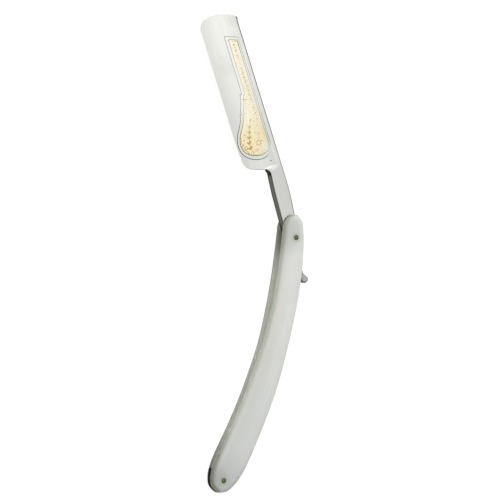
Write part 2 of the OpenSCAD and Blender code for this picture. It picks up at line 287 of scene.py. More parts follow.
def scale_points():
    """The back scale as closed loops, one for each pair of points across the handle.

    The second result holds two marks. One says how near each point is to the rim: 1 - sin a
    in the rounding described below, INNER_RIM_SHADE round the inner face and 0 within it; it
    lays handling wear and painted shade on the rims. The other says how much oil stain and
    painted shade of the gap near the pivot a point gets: OIL_SHADE_SHARE on the inner face near
    the pivot, less over the rounding at the side where the blade comes in, and 0 from
    OIL_SHADE_REACH on. The third result is the first mark on the concave side alone.

    A ring is the outline drawn in along its own normal by an inset, at a height over the
    inner face. Over the rounding, at an angle a from 0 to 90 degrees, the inset is
    SCALE_ROUND_W * (1 - cos a) and the height SCALE_RIM + (SCALE_T - SCALE_RIM) * sin a.
    Round the two ends the inset is less, by END_ROUND_SHARE times the square of how far the
    normal points along the handle, so that the rings don't cross there.
    """
    n = len(outline)
    ahead = np.roll(outline, -1, axis=0) - np.roll(outline, 1, axis=0)
    outward = np.stack([-ahead[:, 1], ahead[:, 0]], -1) / np.hypot(*ahead.T)[:, None]
    a = np.linspace(0, math.pi / 2, ROUND_STEPS + 1)
    insets = np.concatenate([[EDGE_BREAK, EDGE_BREAK * 0.3, 0], SCALE_ROUND_W * (1 - np.cos(a))])
    heights = SCALE_RIM + (SCALE_T - SCALE_RIM) * np.sin(a)
    heights = np.concatenate([[0, EDGE_BREAK * 0.3, EDGE_BREAK], heights])
    rim_wear_shade = np.concatenate([[INNER_RIM_SHADE, 1, 1], 1 - np.sin(a)])
    convex = np.arange(n // 2 + 1)
    concave = -convex % n

    def side(places):
        out = outward[places][:, None]
        narrower = 1 - END_ROUND_SHARE * out[..., 1:] ** 2
        return outline[places][:, None] - insets[:, None] * narrower * out

    right, left = side(convex), side(concave)
    t = (np.arange(1, FACE_STEPS) / FACE_STEPS)[None, :, None]
    outer = right[:, -1:] * (1 - t) + left[:, -1:] * t
    inner = left[:, :1] * (1 - t) + right[:, :1] * t
    plan = np.concatenate([right, outer, left[:, ::-1], inner], axis=1)
    flat = np.zeros(FACE_STEPS - 1)
    height = np.concatenate([heights, flat + SCALE_T, heights[::-1], flat])
    z = MID_Z - half_gap(plan[..., 1]) - height
    rim_wear_shade, on_concave = (
        np.broadcast_to(np.concatenate([first, flat, rim_wear_shade[::-1], flat]), z.shape)
        for first in (rim_wear_shade, rim_wear_shade * 0)
    )
    near = np.clip((OIL_SHADE_REACH - np.hypot(plan[..., 0], plan[..., 1])) / (OIL_SHADE_REACH - OIL_SHADE_FULL), 0, 1)
    blade_side = np.clip((OIL_SHADE_SIDE_X - plan[..., 0]) / OIL_SHADE_SIDE_FADE, 0, 1)
    oil_and_shade = near * np.interp(height, [0, SCALE_RIM, SCALE_T], OIL_SHADE_BY_HEIGHT)
    oil_and_shade = OIL_SHADE_SHARE * oil_and_shade * np.where(height > EDGE_BREAK, blade_side, 1)
    return np.concatenate([plan, z[..., None]], axis=-1), {"rim_wear_shade": rim_wear_shade, "oil_and_shade": oil_and_shade}, on_concave


def black_beside_wedge(points, reach):
    """How black a scale's rim is beside the wedge, from 1 down to 0.

    It is 1 beside the wedge up to a reach over the inner face, in millimetres, and gone
    BLACK_FADE further on.
    """
    over_inner = MID_Z - half_gap(points[..., 1]) - points[..., 2]
    beside = np.clip((WEDGE_TOP_Y + 0.3 - points[..., 1]) / 0.3, 0, 1)
    return beside * np.clip((reach + BLACK_FADE - over_inner) / BLACK_FADE, 0, 1)


scale_back, scale_marks, on_concave = scale_points()
scale_faces = loop_faces(*scale_back.shape[:2])
rim_wear_shade = scale_marks["rim_wear_shade"]  # handling wear and painted shade on all rims, the back scale's the most
back_marks = {**scale_marks, "rim": rim_wear_shade, "black_beside_wedge": black_beside_wedge(scale_back, BLACK_REACH)}
front_marks = {
    "rim_wear_shade": (rim_wear_shade + on_concave) / 2,
    "rim": FRONT_RIM_SHARE * rim_wear_shade + FRONT_SLOT_SHARE * on_concave,
    "oil_and_shade": scale_marks["oil_and_shade"],
    "black_beside_wedge": black_beside_wedge(scale_back, FRONT_BLACK_REACH),
}
back_scale = make_piece("celluloid_scale_back", scale_back, scale_faces, back_marks)
front_scale = make_piece("celluloid_scale_front", mirror_front(scale_back), scale_faces, front_marks)

# %% [markdown]
# ## Bores and collar seats
#
# Both pins go through drilled holes, and round each pin's end a small collar is let into
# the scale. A hole is the one thing that a grid of loops can't hold, so a Boolean modifier
# cuts it. The result is kept as the piece's mesh, because a live Boolean needs its cutter.

# %% Drill a piece
PIN_R = 0.8
FIXED_PLAY = 0.02
COLLAR_R = 1.3
COLLAR_T = 0.5
OVERRUN = 3
DRILL_STEPS = 48
bore_r = PIN_R + FIXED_PLAY


def pin_low(y):
    """The height of the back scale's outer face at a pin."""
    return MID_Z - float(half_gap(np.float64(y))) - SCALE_T


def drill(piece, cutters):
    """Cuts closed pieces out of a piece, keeps the result as its mesh and removes them."""
    for cutter in cutters:
        cut = piece.modifiers.new("drill", "BOOLEAN")
        cut.operation, cut.solver, cut.object = "DIFFERENCE", "EXACT", cutter
    state = bpy.context.evaluated_depsgraph_get()
    cut_piece = piece.evaluated_get(state)
    mesh = bpy.data.meshes.new_from_object(cut_piece, preserve_all_data_layers=True, depsgraph=state)
    piece.modifiers.clear()
    old, piece.data = piece.data, mesh
    bpy.data.meshes.remove(old)
    mesh.name = piece.name
    mesh.shade_smooth()
    mesh.set_sharp_from_angle(angle=SHARP_ANGLE)
    for cutter in cutters:
        bpy.data.objects.remove(cutter)
    print(f"{piece.name}, drilled: {len(mesh.polygons)} faces")


def stepped_drill(y, front):
    """The space that a pin and its collar take in one scale, as a turned piece."""
    start, seat_end, seat_r = pin_low(y) - OVERRUN, pin_low(y) + COLLAR_T, COLLAR_R + FIXED_PLAY
    profile = [[0, start], [seat_r, start], [seat_r, seat_end]]
    profile += [[bore_r, seat_end], [bore_r, MID_Z], [0, MID_Z]]
    return turned("drill", mirror_front(profile) if front else profile, y, steps=DRILL_STEPS)


def straight_drill(radius, y):
    """The space that a pin takes in a wedge or a blade: a rod as long as both scales reach."""
    rod = [[0, 0], [radius, 0], [radius, 2 * MID_Z], [0, 2 * MID_Z]]
    return turned("drill", rod, y, steps=DRILL_STEPS)


drill(back_scale, [stepped_drill(0, False), stepped_drill(-PIN_SPAN, False)])
drill(front_scale, [stepped_drill(0, True), stepped_drill(-PIN_SPAN, True)])
for scale, node in ((back_scale, "back_scale"), (front_scale, "front_scale")):
    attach(scale, "handle")
    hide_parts(node)

# %% [markdown]
# ## The wedge
#
# A black wedge between the scales holds them apart at the foot. It is cut to the handle's
# outline, so in the photograph it shows only as a black line between the two rims. Its
# upper end is cut square. The same outline gives its sides, and half_gap its two faces.

# %% Make the wedge
WEDGE_ROWS = 90
WEDGE_COLUMNS = 24


def wedge_points():
    """Loops across the foot: each goes over the top face and back along the bottom face.

    The sides are the outline's points below the wedge's upper end, and the height at a
    place along the handle is half of the gap between the scales there. The rows lie closer
    together towards the round foot: a row at a share s of the way is at s * (2 - s). One
    more row, with no height, closes the square end.
    """
    convex = np.arange(len(outline) // 2 + 1)
    right, left = outline[convex], outline[-convex % len(outline)]
    share = np.linspace(0, 1, WEDGE_ROWS)
    y = WEDGE_TOP_Y - (PIN_SPAN + FOOT_REACH + WEDGE_TOP_Y) * share * (2 - share)
    right_x = np.interp(-y, -right[:, 1], right[:, 0])
    left_x = np.interp(-y, -left[:, 1], left[:, 0])
    x = left_x[:, None] + (right_x - left_x)[:, None] * np.linspace(0, 1, WEDGE_COLUMNS)
    y, z = (np.broadcast_to(v[:, None], x.shape) for v in (y, half_gap(y)))
    top, bottom = np.stack([x, y, MID_Z + z], -1), np.stack([x, y, MID_Z - z], -1)
    loops = np.concatenate([top, bottom[:, ::-1]], axis=1)
    closing = loops[:1] * [1, 1, 0] + [0, 0, MID_Z]
    return np.concatenate([closing, loops])


wedge_loops = wedge_points()
wedge = make_piece("horn_wedge", wedge_loops, loop_faces(*wedge_loops.shape[:2]))
drill(wedge, [straight_drill(bore_r, -PIN_SPAN)])
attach(wedge, "handle")
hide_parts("wedge")

# %% [markdown]
# ## Pins, collars and washers
#
# The pins are soft brass rod. Their ends are spread with a small hammer until they hold the
# scales, which leaves a low dome that is not quite round. A collar under each head spares
# the scale. The pivot pin's back end is filed flush, because the razor lies on it. All of
# these are turned pieces: a profile carried round the pin's axis.

# %% Turn the pins
HEAD_R = 1.0
HEAD_H = 0.28
HEAD_LIP = 0.05
HAMMER_RIPPLE = 0.02
DOME_STEPS = 10


def dome(base, up):
    """A peened head's profile from its rim to its top: a circle's arc, HEAD_H high.

    The circle through the rim and the top has the radius (HEAD_R^2 + HEAD_H^2) / 2 HEAD_H.
    """
    sphere_r = (HEAD_R**2 + HEAD_H**2) / (2 * HEAD_H)
    r = np.linspace(HEAD_R, 0, DOME_STEPS)
    height = np.maximum(np.sqrt(sphere_r**2 - r**2) - (sphere_r - HEAD_H), HEAD_LIP)
    return [[HEAD_R - HEAD_LIP, base], *np.stack([r, base + up * height], -1).tolist()]


wedge_pin_low = pin_low(-PIN_SPAN)
pivot_profile = [[0, 0], [PIN_R, 0], [PIN_R, 2 * MID_Z], *dome(2 * MID_Z, 1)]
wedge_pin_profile = [
    *dome(wedge_pin_low, -1)[::-1], [PIN_R, wedge_pin_low],
    [PIN_R, 2 * MID_Z - wedge_pin_low], *dome(2 * MID_Z - wedge_pin_low, 1),
]
pivot_pin = turned("pivot_pin_peened", pivot_profile, 0, ripple=HAMMER_RIPPLE)
wedge_pin = turned("wedge_pin_peened", wedge_pin_profile, -PIN_SPAN)

# %% Turn the collars and washers
COLLAR_BREAK = 0.08
WASHER_R = 2.5
TANG_T = 4.8
WASHER_PLAY = 0.03
WASHER_T = PIVOT_GAP_HALF - TANG_T / 2 - WASHER_PLAY


def ring_profile(bore, radius, low, thickness, edge):
    """A flat ring's section, with both outer corners broken."""
    high = low + thickness
    corners = [[bore, low], [radius - edge, low], [radius, low + edge]]
    return corners + [[radius, high - edge], [radius - edge, high], [bore, high]]


rings = {}
for name, node, y, low, radius, thickness in (
    ("pivot_collar", "pivot_collar", 0, pin_low(0), COLLAR_R, COLLAR_T),
    ("wedge_collar", "wedge_collar", -PIN_SPAN, wedge_pin_low, COLLAR_R, COLLAR_T),
    ("pivot_washer", "washer", 0, SCALE_T, WASHER_R, WASHER_T),
):
    profile = ring_profile(bore_r, radius, low, thickness, COLLAR_BREAK)
    rings[f"back_{node}"] = turned(f"{name}_back", profile, y, closed=True)
    rings[f"front_{node}"] = turned(f"{name}_front", mirror_front(profile), y, closed=True)

for node, piece in {"pivot_pin": pivot_pin, "wedge_pin": wedge_pin, **rings}.items():
    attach(piece, "handle")
    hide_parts(node)

# %% [markdown]
# ## The blade
#
# Blade, shoulder, tang and tail are one forging. It is drawn flat, with the pivot at the
# origin, the point towards +Y and the edge towards -X, and turned open at the end. Its two
# sides run from the tail's end to the top of the point, and are cut into matching stretches,
# so that a row from one side to the other never crosses its neighbour. A height over each
# point of these rows then gives the two faces.

# %% The blade's sizes, as in the CAD model
OPEN_TURN = math.radians(37.5)
BLADE_REACH = 123.4
SHOULDER_Y = 37
HEEL_Y = 40.4
EDGE_X = 15
BACK_X = 6.5
TOE_R = 5.2
TOE_CORNER_R = 0.8
TOE_CROWN_ANGLE = 101
TOE_CORNER_ANGLE = 54
HEEL_R = 6.7
HEEL_INSET = 0.6
HEEL_SLOPE = 19
TANG_W = 8.4
TAIL_REACH = 24.8
TAIL_TIP_R = 2
NOTCH_X = -0.31 * TANG_W
RUN_IN_Y = HEEL_Y + 0.17 * (BLADE_REACH - HEEL_Y)

# Each row is [along, belly, back]: along from the pivot, as a share of SHOULDER_Y or of
# TAIL_REACH, and across as shares of TANG_W.
TANG_ROWS = [
    [0, -0.405, 0.46], [0.16, -0.39, 0.545], [0.34, -0.37, 0.635], [0.5, -0.34, 0.705],
    [0.65, -0.31, 0.76], [0.8, -0.255, 0.774], [0.9, -0.215, 0.774], [0.97, -0.19, 0.774],
]
TAIL_ROWS = [[0.77, -0.345, -0.005], [0.62, -0.37, 0.065], [0.42, -0.385, 0.18], [0.2, -0.405, 0.33]]
TAIL_CENTRE = [-0.042 * TANG_W, TAIL_TIP_R - TAIL_REACH]
TAIL_FROM, TAIL_SPLIT, TAIL_TO = 25, -67.5, -160
ARC_STEPS = 24
NOTCH_LEAN, HEEL_LEAN = 0.3, 1.4  # rows there rise by this much towards the back


def blade_stretches():
    """The blade's belly side and back side, as pairs of matching lines from tail to point.

    Each entry is (belly line, back line, rows between them).
    """
    rows = [[-a * TAIL_REACH, belly, back] for a, belly, back in TAIL_ROWS]
    rows += [[a * SHOULDER_Y, belly, back] for a, belly, back in TANG_ROWS]
    steps, tail = 8, len(TAIL_ROWS)
    belly_tip = arc(TAIL_CENTRE, TAIL_TIP_R, TAIL_SPLIT, TAIL_TO, ARC_STEPS)
    back_tip = arc(TAIL_CENTRE, TAIL_TIP_R, TAIL_SPLIT, TAIL_FROM, ARC_STEPS)
    belly = smooth([belly_tip[-1], *[[b * TANG_W, y] for y, b, _ in rows]], steps)
    back = [[b * TANG_W, y] for y, _, b in rows]
    back = smooth([back_tip[-1], *back, [BACK_X, BLADE_REACH / 2]], steps)
    pivot, neck = (tail + 1) * steps, (tail + len(TANG_ROWS) - 1) * steps

    slope = math.radians(HEEL_SLOPE)
    heel_centre = np.array([HEEL_INSET + HEEL_R - EDGE_X, HEEL_Y + HEEL_R])
    heel = arc(heel_centre, HEEL_R, 270 - HEEL_SLOPE, 180, ARC_STEPS)
    notch = [NOTCH_X, heel[0, 1] - (NOTCH_X - heel[0, 0]) * math.tan(slope)]
    crown, corner = math.radians(TOE_CROWN_ANGLE), math.radians(TOE_CORNER_ANGLE)
    u, v = (np.array([math.cos(a), math.sin(a)]) for a in (crown, corner))
    crown_r = (BACK_X - TOE_R + EDGE_X - TOE_R * u[0] - TOE_CORNER_R * (1 - v[0])) / (v[0] - u[0])
    crown_centre = np.array([TOE_R - EDGE_X + (TOE_R - crown_r) * u[0], BLADE_REACH - crown_r])
    toe_centre = crown_centre + (crown_r - TOE_R) * u
    corner_centre = crown_centre + (crown_r - TOE_CORNER_R) * v
    top = (TOE_CROWN_ANGLE + TOE_CORNER_ANGLE) / 2
    toe_belly = [*arc(toe_centre, TOE_R, 180, TOE_CROWN_ANGLE, 2 * ARC_STEPS)]
    toe_belly += [*arc(crown_centre, crown_r, TOE_CROWN_ANGLE, top, ARC_STEPS)]
    toe_back = [*arc(corner_centre, TOE_CORNER_R, 0, TOE_CORNER_ANGLE, ARC_STEPS)]
    toe_back += [*arc(crown_centre, crown_r, TOE_CORNER_ANGLE, top, ARC_STEPS)]

    up_back = (notch[1] + NOTCH_LEAN, heel[0, 1] + HEEL_LEAN, heel[-1, 1], toe_centre[1])
    on_back = [[BACK_X, y] for y in up_back]
    return [
        ([*belly_tip[:-1], *belly[: pivot + 1]], [*back_tip[:-1], *back[: pivot + 1]], 44),
        (belly[pivot : neck + 1], back[pivot : neck + 1], 60),
        ([*belly[neck:], notch], [back[neck], on_back[0]], 30),
        ([notch, heel[0]], on_back[:2], 28),
        (heel, on_back[1:3], 26),
        ([heel[-1], [-EDGE_X, RUN_IN_Y], [-EDGE_X, toe_centre[1]]], on_back[2:], 205),
        (toe_belly, [on_back[3], *toe_back], 44),
    ]


stretches = blade_stretches()
belly_side, back_side = (
    np.vstack([stretches[0][k][:1], *(spread(lines[k], lines[2] + 1)[1:] for lines in stretches)])
    for k in (0, 1)
)
print("Rows along the blade:", len(belly_side))

# %% [markdown]
# ### Where the rows have their points
#
# Steel shows every facet, so the points are closest where the surface turns most: in the
# bevel at the edge, in the rounding along the back, and at the line where the hollow ends.
# Margins at both sides keep their width in millimetres from row to row, and what is left is
# divided evenly. At the tail's end and at the point a row is too short for its margins, and
# they shrink with it.

# %% Place the points of each row
BACK_ROUND_R = 1.3
HOLLOW_END_X = 3.45  # where the hollow meets the flat along the back
EDGE_MARGIN = 0.9
BACK_FLAT = BACK_X - BACK_ROUND_R - HOLLOW_END_X
EDGE_SHARE, ROUND_SHARE, FLAT_SHARE = 0.15, 0.22, 0.12  # of a short row's width, at the most
EDGE_STEPS, HOLLOW_STEPS, FLAT_STEPS, ROUND_BACK_STEPS = 6, 52, 4, 8


def row_points():
    """The plan of one face: rows by columns by x and y.

    Offsets from the belly side along a row are w(1 - cos a) in the margins, and evenly
    spaced between them.
    """
    width = np.hypot(*(back_side - belly_side).T)[:, None]
    low = np.minimum(EDGE_MARGIN, EDGE_SHARE * width)
    high = np.minimum(BACK_ROUND_R, ROUND_SHARE * width)
    flat = np.minimum(BACK_FLAT, FLAT_SHARE * width)

    def rounding(steps):
        return 1 - np.cos(np.linspace(0, math.pi / 2, steps + 1))

    end = width - high - flat
    offsets = [
        low * rounding(EDGE_STEPS)[:-1],
        low + (end - low) * np.linspace(0, 1, HOLLOW_STEPS + 1)[:-1],
        end + flat * np.linspace(0, 1, FLAT_STEPS + 1)[:-1],
        width - high * rounding(ROUND_BACK_STEPS)[::-1],
    ]
    share = np.concatenate(offsets, axis=1) / np.maximum(width, 1e-9)
    share[width[:, 0] < 1e-6] = np.linspace(0, 1, share.shape[1])
    return belly_side[:, None] * (1 - share[..., None]) + back_side[:, None] * share[..., None]


plan = row_points()
print("Points on one face:", plan.shape[0] * plan.shape[1])

# %% [markdown]
# ### How thick the blade is
#
# A large wheel grinds each side hollow, so across its width the blade is a circle's arc
# that leaves a thin strip at the edge and nothing at the back. The wheel's rounded corner
# leaves the curved shoulder. The height over the middle plane is the least of the forging's
# half thickness, the wheel's surface and the honed bevel, and a rounding takes its share
# near the outline. The least of two is taken softly, as a polishing mop leaves it.

# %% Work out the heights
GRIND_R = 60
GRIND_CORNER_R = 2.5
THIN_LINE = 2
THIN_T = 0.2
EDGE_T = 0.06
BEVEL_W = 3
TOE_T = 4.4
TAIL_T = 3.2
TAIL_THIN_SHARE = 0.25
MOP_SOFTNESS = 0.012
ROUND_OF_HEIGHT = 0.7
FAR = 9.0

# Each row is [along the blade, radius of the outline's rounding there].
BELLY_ROUNDS = [[-TAIL_REACH, 0.6], [-16, 0.4], [38, 0.4], [41, 0.1], [48, 0], [117, 0], [119, 0.15]]
BACK_ROUNDS = [[-TAIL_REACH, 0.6], [-16, BACK_ROUND_R], [116.5, BACK_ROUND_R], [118.7, 0.15]]


def distance_to(points, line):
    """Each point's distance to a broken line: to the nearest place on its nearest piece."""
    flat = points.reshape(-1, 2)
    best = np.full(len(flat), np.inf)
    for start, step in zip(line[:-1], np.diff(line, axis=0)):
        t = np.clip((flat - start) @ step / max(step @ step, 1e-12), 0, 1)
        best = np.minimum(best, np.hypot(*(flat - start - t[:, None] * step).T))
    return best.reshape(points.shape[:-1])


def softly(a, b):
    """The least of a and b, rounded where they cross: -s * log(e^(-a/s) + e^(-b/s))."""
    low = np.minimum(a, b)
    return low - MOP_SOFTNESS * np.log1p(np.exp(-np.abs(a - b) / MOP_SOFTNESS))


def wheel_height(x, y):
    """The hollow: z = centre height - sqrt(r^2 - dx^2), with a smaller r at the shoulder."""
    along = np.clip(y - SHOULDER_Y - GRIND_CORNER_R, -GRIND_CORNER_R, 0)
    r = GRIND_R - GRIND_CORNER_R + np.sqrt(GRIND_CORNER_R**2 - along**2)
    z = THIN_T / 2 + GRIND_R - np.sqrt(r**2 - (x - THIN_LINE + EDGE_X) ** 2)
    return np.where(y < SHOULDER_Y, FAR, z)


def body_height(x, y):
    """The forging's half thickness, cut by the wheel and by the bevel."""
    places = [-TAIL_REACH, -TAIL_THIN_SHARE * TAIL_REACH, SHOULDER_Y, BLADE_REACH]
    forged = np.interp(y, places, [TAIL_T / 2, TANG_T / 2, TANG_T / 2, TOE_T / 2])
    ground = softly(forged, wheel_height(x, y))
    bevel = EDGE_T / 2 + (x + EDGE_X) * TANG_T / 2 / (EDGE_X + BACK_X)
    return np.where(x < BEVEL_W - EDGE_X, np.minimum(ground, bevel), ground)


rim = np.vstack([belly_side, back_side[::-1]])
depth_in = distance_to(plan, rim)
belly_round = np.interp(plan[:, :1, 1], *np.transpose(BELLY_ROUNDS))
back_round = np.interp(plan[:, -1:, 1], *np.transpose(BACK_ROUNDS))
share_across = np.linspace(0, 1, plan.shape[1])[None, :]
height = body_height(plan[..., 0], plan[..., 1])
round_r = np.where(share_across < 0.5, belly_round, back_round)
round_r = np.minimum(round_r, ROUND_OF_HEIGHT * height)
into = np.clip(round_r - depth_in, 0, None)
height = height - (round_r - np.sqrt(np.maximum(round_r**2 - into**2, 0)))
print("Blade half thickness from", height.min().round(3), "to", height.max().round(3), "mm")

# %% [markdown]
# ### The gilt panel
#
# The face that shows is etched and gilded. The steel is covered with wax, a drawing is cut
# into the wax, acid roughens what is bare, and a thin gold wash takes on it. The panel here
# is a plain border with a lobe near the shoulder, and a second line round the gold within
# it. In the lobe are a leaf spray, rosettes, berries and beading, and a chain of lozenges
# goes up the strip. Instead of drawing them as pictures, each point of the mesh is given
# its distance to the border, the gold and the nearest ornament, in millimetres. A distance
# changes evenly from point to point, so a line drawn from it later stays crisp although the
# mesh is much coarser than the line is thin.

# %% Measure the distance to the panel's border
STRIP_LEFT, STRIP_RIGHT = -3.5, 3.3
STRIP = [
    [STRIP_RIGHT, 50.5], [STRIP_RIGHT, 108.7], [STRIP_LEFT, 111.4], [STRIP_LEFT, 80.3], [-4.6, 79.7]
]
STEP_SIDE = [[-4.6, 79.7], [-4.9, 77.4], [-5.8, 74.4], [-7.0, 71.4]]
STEP = [[-6.8, 70.5], [-7.8, 69.7]]
LOBE = [
    [-7.8, 69.7], [-8.6, 66.8], [-10.3, 63.7], [-12.2, 60.8], [-13.5, 57.9], [-14.0, 54.2],
    [-13.0, 50.2], [-10.1, 47.0], [-6.6, 45.1], [-2.8, 44.4], [0.6, 45.4], [2.6, 47.5],
    [STRIP_RIGHT, 50.5],
]
border = np.vstack([STRIP, smooth(STEP_SIDE, 6)[1:], STEP, smooth(LOBE, 6)[1:]])


def inside(points, loop):
    """True where a line to +X from a point crosses the closed loop an odd number of times."""
    x, y = points[..., 0], points[..., 1]
    crossings = np.zeros(x.shape, int)
    for (ax, ay), (bx, by) in zip(loop, np.roll(loop, -1, axis=0)):
        if ay != by:
            at = ax + (y - ay) * (bx - ax) / (by - ay)
            crossings += ((ay > y) != (by > y)) & (x < at)
    return crossings % 2 == 1


def signed_distance(points, loop):
    """The distance to a closed loop, less than 0 inside it."""
    near = distance_to(points, loop)
    return np.where(inside(points, loop[:-1]), -near, near)


GOLD_INSET = 1.6
GOLD_WIDER = 0.75  # along the back the gold comes this much nearer to the border
GOLD_HIGHER = 0.5  # and at the lobe's round end it stays this much further off
LOBE_END_Y, LOBE_END_FADE = 50, 5

panel = signed_distance(plan, border)
to_back = np.clip((border[:, :1] - STRIP_LEFT) / (STRIP_RIGHT - STRIP_LEFT), 0, 1)
to_end = np.clip((LOBE_END_Y - border[:, 1:]) / LOBE_END_FADE, 0, 1)
gold_border = border + np.hstack([GOLD_WIDER * to_back, GOLD_HIGHER * to_end])
gold_area = signed_distance(plan, gold_border) + GOLD_INSET
print("Points inside the panel:", int((panel < 0).sum()), "of them in the gold:", int((gold_area < 0).sum()))

# %% Measure the distance to the ornament
LARGEST_LEAF, LEAF_LESS = 1.15, 0.4  # as shares of the leaf's length, first and lost to the end


def leaves_along(stem, count, length, width, lean):
    """Pairs of leaves on a stem, as rows of [x, y, half length, half width, angle].

    They stand at even distances, each leaning off the stem's direction by the same angle to
    either side, and grow smaller towards the stem's end.
    """
    places = spread(stem, count + 2)
    ahead = np.diff(places, axis=0)
    found = []
    for k in range(1, count + 1):
        along = math.atan2(ahead[k - 1][1], ahead[k - 1][0])
        size = LARGEST_LEAF - LEAF_LESS * k / count
        for side in (1, -1):
            angle = along + side * lean
            off = length * size * np.array([math.cos(angle), math.sin(angle)])
            found.append([*(places[k] + off), length * size, width * size, angle])
    return found


# All places here are [x, y] on the blade and all sizes are in millimetres. An ornament is a
# row of [x, y, half length, half width, angle].
SPRAY_STEM = [[-6.4, 48.4], [-7.5, 52.0], [-7.0, 55.6], [-5.5, 60.2], [-3.7, 64.4]]
SPRAY_TIP = [-3.3, 65.6, 0.9, 0.4, math.radians(62)]
ROSETTES = [[-2.4, 53.0, 1.25], [-4.4, 49.6, 0.8], [-1.0, 57.6, 0.7], [-9.8, 52.4, 0.8]]
BERRIES = [
    [-9.9, 56.6], [-8.8, 59.2], [-2.9, 58.6], [-0.6, 61.8], [-0.4, 53.6], [-1.6, 64.4], [-10.8, 54.6]
]
BEADED_LINE = [
    [-11.3, 58.0], [-11.5, 54.2], [-10.2, 50.8], [-7.6, 48.2], [-3.8, 47.2], [-0.8, 48.2]
]
LOZENGES = [[105.6, 6, 1.5, 0.55], [92.6, 15, 1.2, 0.5], [71.4, 5, 1.6, 0.5]]  # start, count, gap, size
NOTCHES = [
    [[-4.9, 80.0], [-3.6, 79.6]], [[-4.3, 77.2], [-1.8, 76.4]], [[-7.9, 70.1], [-6.7, 69.6]],
    [[1.0, 107.4], [2.4, 106.9], [2.4, 103.0]],
]
STEM_HALF_W, NOTCH_HALF_W = 0.16, 0.22

spray_stem = smooth(SPRAY_STEM, 8)
ornament = [*leaves_along(spray_stem, 5, 0.9, 0.42, math.radians(42)), SPRAY_TIP]
petals = np.radians(np.arange(20, 380, 60))
for x, y, size in ROSETTES:
    places = np.array([x, y]) + size * np.stack([np.cos(petals), np.sin(petals)], -1)
    ornament += [[*place, 0.42 * size, 0.26 * size, a + 0.6] for place, a in zip(places, petals)]
ornament += [[x, y, 0.4, 0.34, 0.5] for x, y in BERRIES]
for start, count, gap, size in LOZENGES:
    for k in range(count):
        y = start - gap * k
        x = 0.25 - 0.006 * (y - 90)
        small = size if k % 2 == 0 else 0.55 * size
        ornament.append([x, y, 1.25 * small, 0.62 * small, math.radians(35 if k % 4 else 145)])
beads = spread(smooth(BEADED_LINE, 8), 15)
ornament += [[x, y, 0.5, 0.26, 0.9 * k] for k, (x, y) in enumerate(beads)]

sprig = np.full(plan.shape[:2], FAR)
for x, y, half_l, half_w, angle in ornament:
    off = plan - [x, y]
    u = off @ [math.cos(angle), math.sin(angle)]
    v = off @ [-math.sin(angle), math.cos(angle)]
    sprig = np.minimum(sprig, (np.hypot(u / half_l, v / half_w) - 1) * half_w)
sprig = np.minimum(sprig, distance_to(plan, spray_stem) - STEM_HALF_W)
for notch in NOTCHES:
    sprig = np.minimum(sprig, distance_to(plan, np.array(notch)) - NOTCH_HALF_W)
print("Ornaments:", len(ornament))

# %% [markdown]
# ### Two faces, one closed blade
#
# The upper face and the lower face are the same rows with the height taken both ways, and
# each row is one closed loop over the top and back underneath. The ornament is on the upper
# face only. The flanks of tang and back are rougher than the faces and get painted shade and
# dark reflection in their colour, and a number at each point says how much of it there is.
# Another one is the distance to a painted highlight on the shoulder, in shares of its size.

# %% Make the blade
BLADE_BORE_R = PIN_R + 0.05
HIGHLIGHT_PLACE, HIGHLIGHT_SIZE = (-0.9, 38.4), (3.8, 1.2)  # where a painted highlight brightens the shoulder
BELLY_SHADE_IN = 0.06
BACK_SHADE_IN, BACK_SHADE_FADE = 1.0, 0.5
FLANK_SHADE_BELOW = 0.25  # the back's lower edge gets a quarter of the painted shade
# Each row is [along the blade, how much painted dark reflection the back's rounding
# gets there].
BACK_SHADE = [
    [-12, 0.35], [-8, 0], [36, 0], [50, 0.6], [75, 0.85], [100, 1], [118.7, 1], [119.2, 0]
]


def painted_flank_shade():
    """How much painted shade and dark reflection each point gets, from 0 to 1.

    It is 1 all along the belly's flank from the tail to the heel. On the back's rounding it
    begins BACK_SHADE_IN inside the outline, and follows BACK_SHADE along the blade.
    """
    y = plan[..., 1]
    belly = (depth_in < BELLY_SHADE_IN) & (share_across < 0.5) & (y < HEEL_Y + 1)
    to_edge = np.clip((BACK_SHADE_IN - depth_in) / BACK_SHADE_FADE, 0, 1)
    back = np.where(share_across > 0.5, to_edge * np.interp(y, *np.transpose(BACK_SHADE)), 0)
    return np.where(belly, 1.0, back)


def loops_of(front, back):
    """Joins values for the upper face to values for the lower one, in a loop's order."""
    return np.concatenate([front, back[:, ::-1]], axis=1)


upper = np.concatenate([plan, height[..., None]], axis=-1)
lower = upper * [1, 1, -1]
blade_loops = loops_of(upper, lower)
cos_turn, sin_turn = math.cos(OPEN_TURN), math.sin(OPEN_TURN)
opened = np.array([[cos_turn, -sin_turn, 0], [sin_turn, cos_turn, 0], [0, 0, 1]])
blade_points = blade_loops @ opened.T + [0, 0, MID_Z]
flank_shade = painted_flank_shade()
highlight_distance = np.hypot(*np.moveaxis((plan - HIGHLIGHT_PLACE) / HIGHLIGHT_SIZE, -1, 0))
marks = {"flank_shade": (flank_shade, flank_shade * np.where(share_across > 0.5, FLANK_SHADE_BELOW, 1)), "from_painted_highlight": (highlight_distance, highlight_distance)}
for name, distance in (("panel_mm", panel), ("gold_mm", gold_area), ("sprig_mm", sprig)):
    marks[name] = distance, np.full(panel.shape, FAR)
marks = {name: np.minimum(loops_of(*both), FAR) for name, both in marks.items()}
blade = make_piece("steel_blade", blade_points, loop_faces(*blade_loops.shape[:2]), marks)
drill(blade, [straight_drill(BLADE_BORE_R, 0)])
print("Kept on the blade:", [a.name for a in blade.data.attributes if a.name in marks])
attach(blade, "blade")
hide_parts("blade")

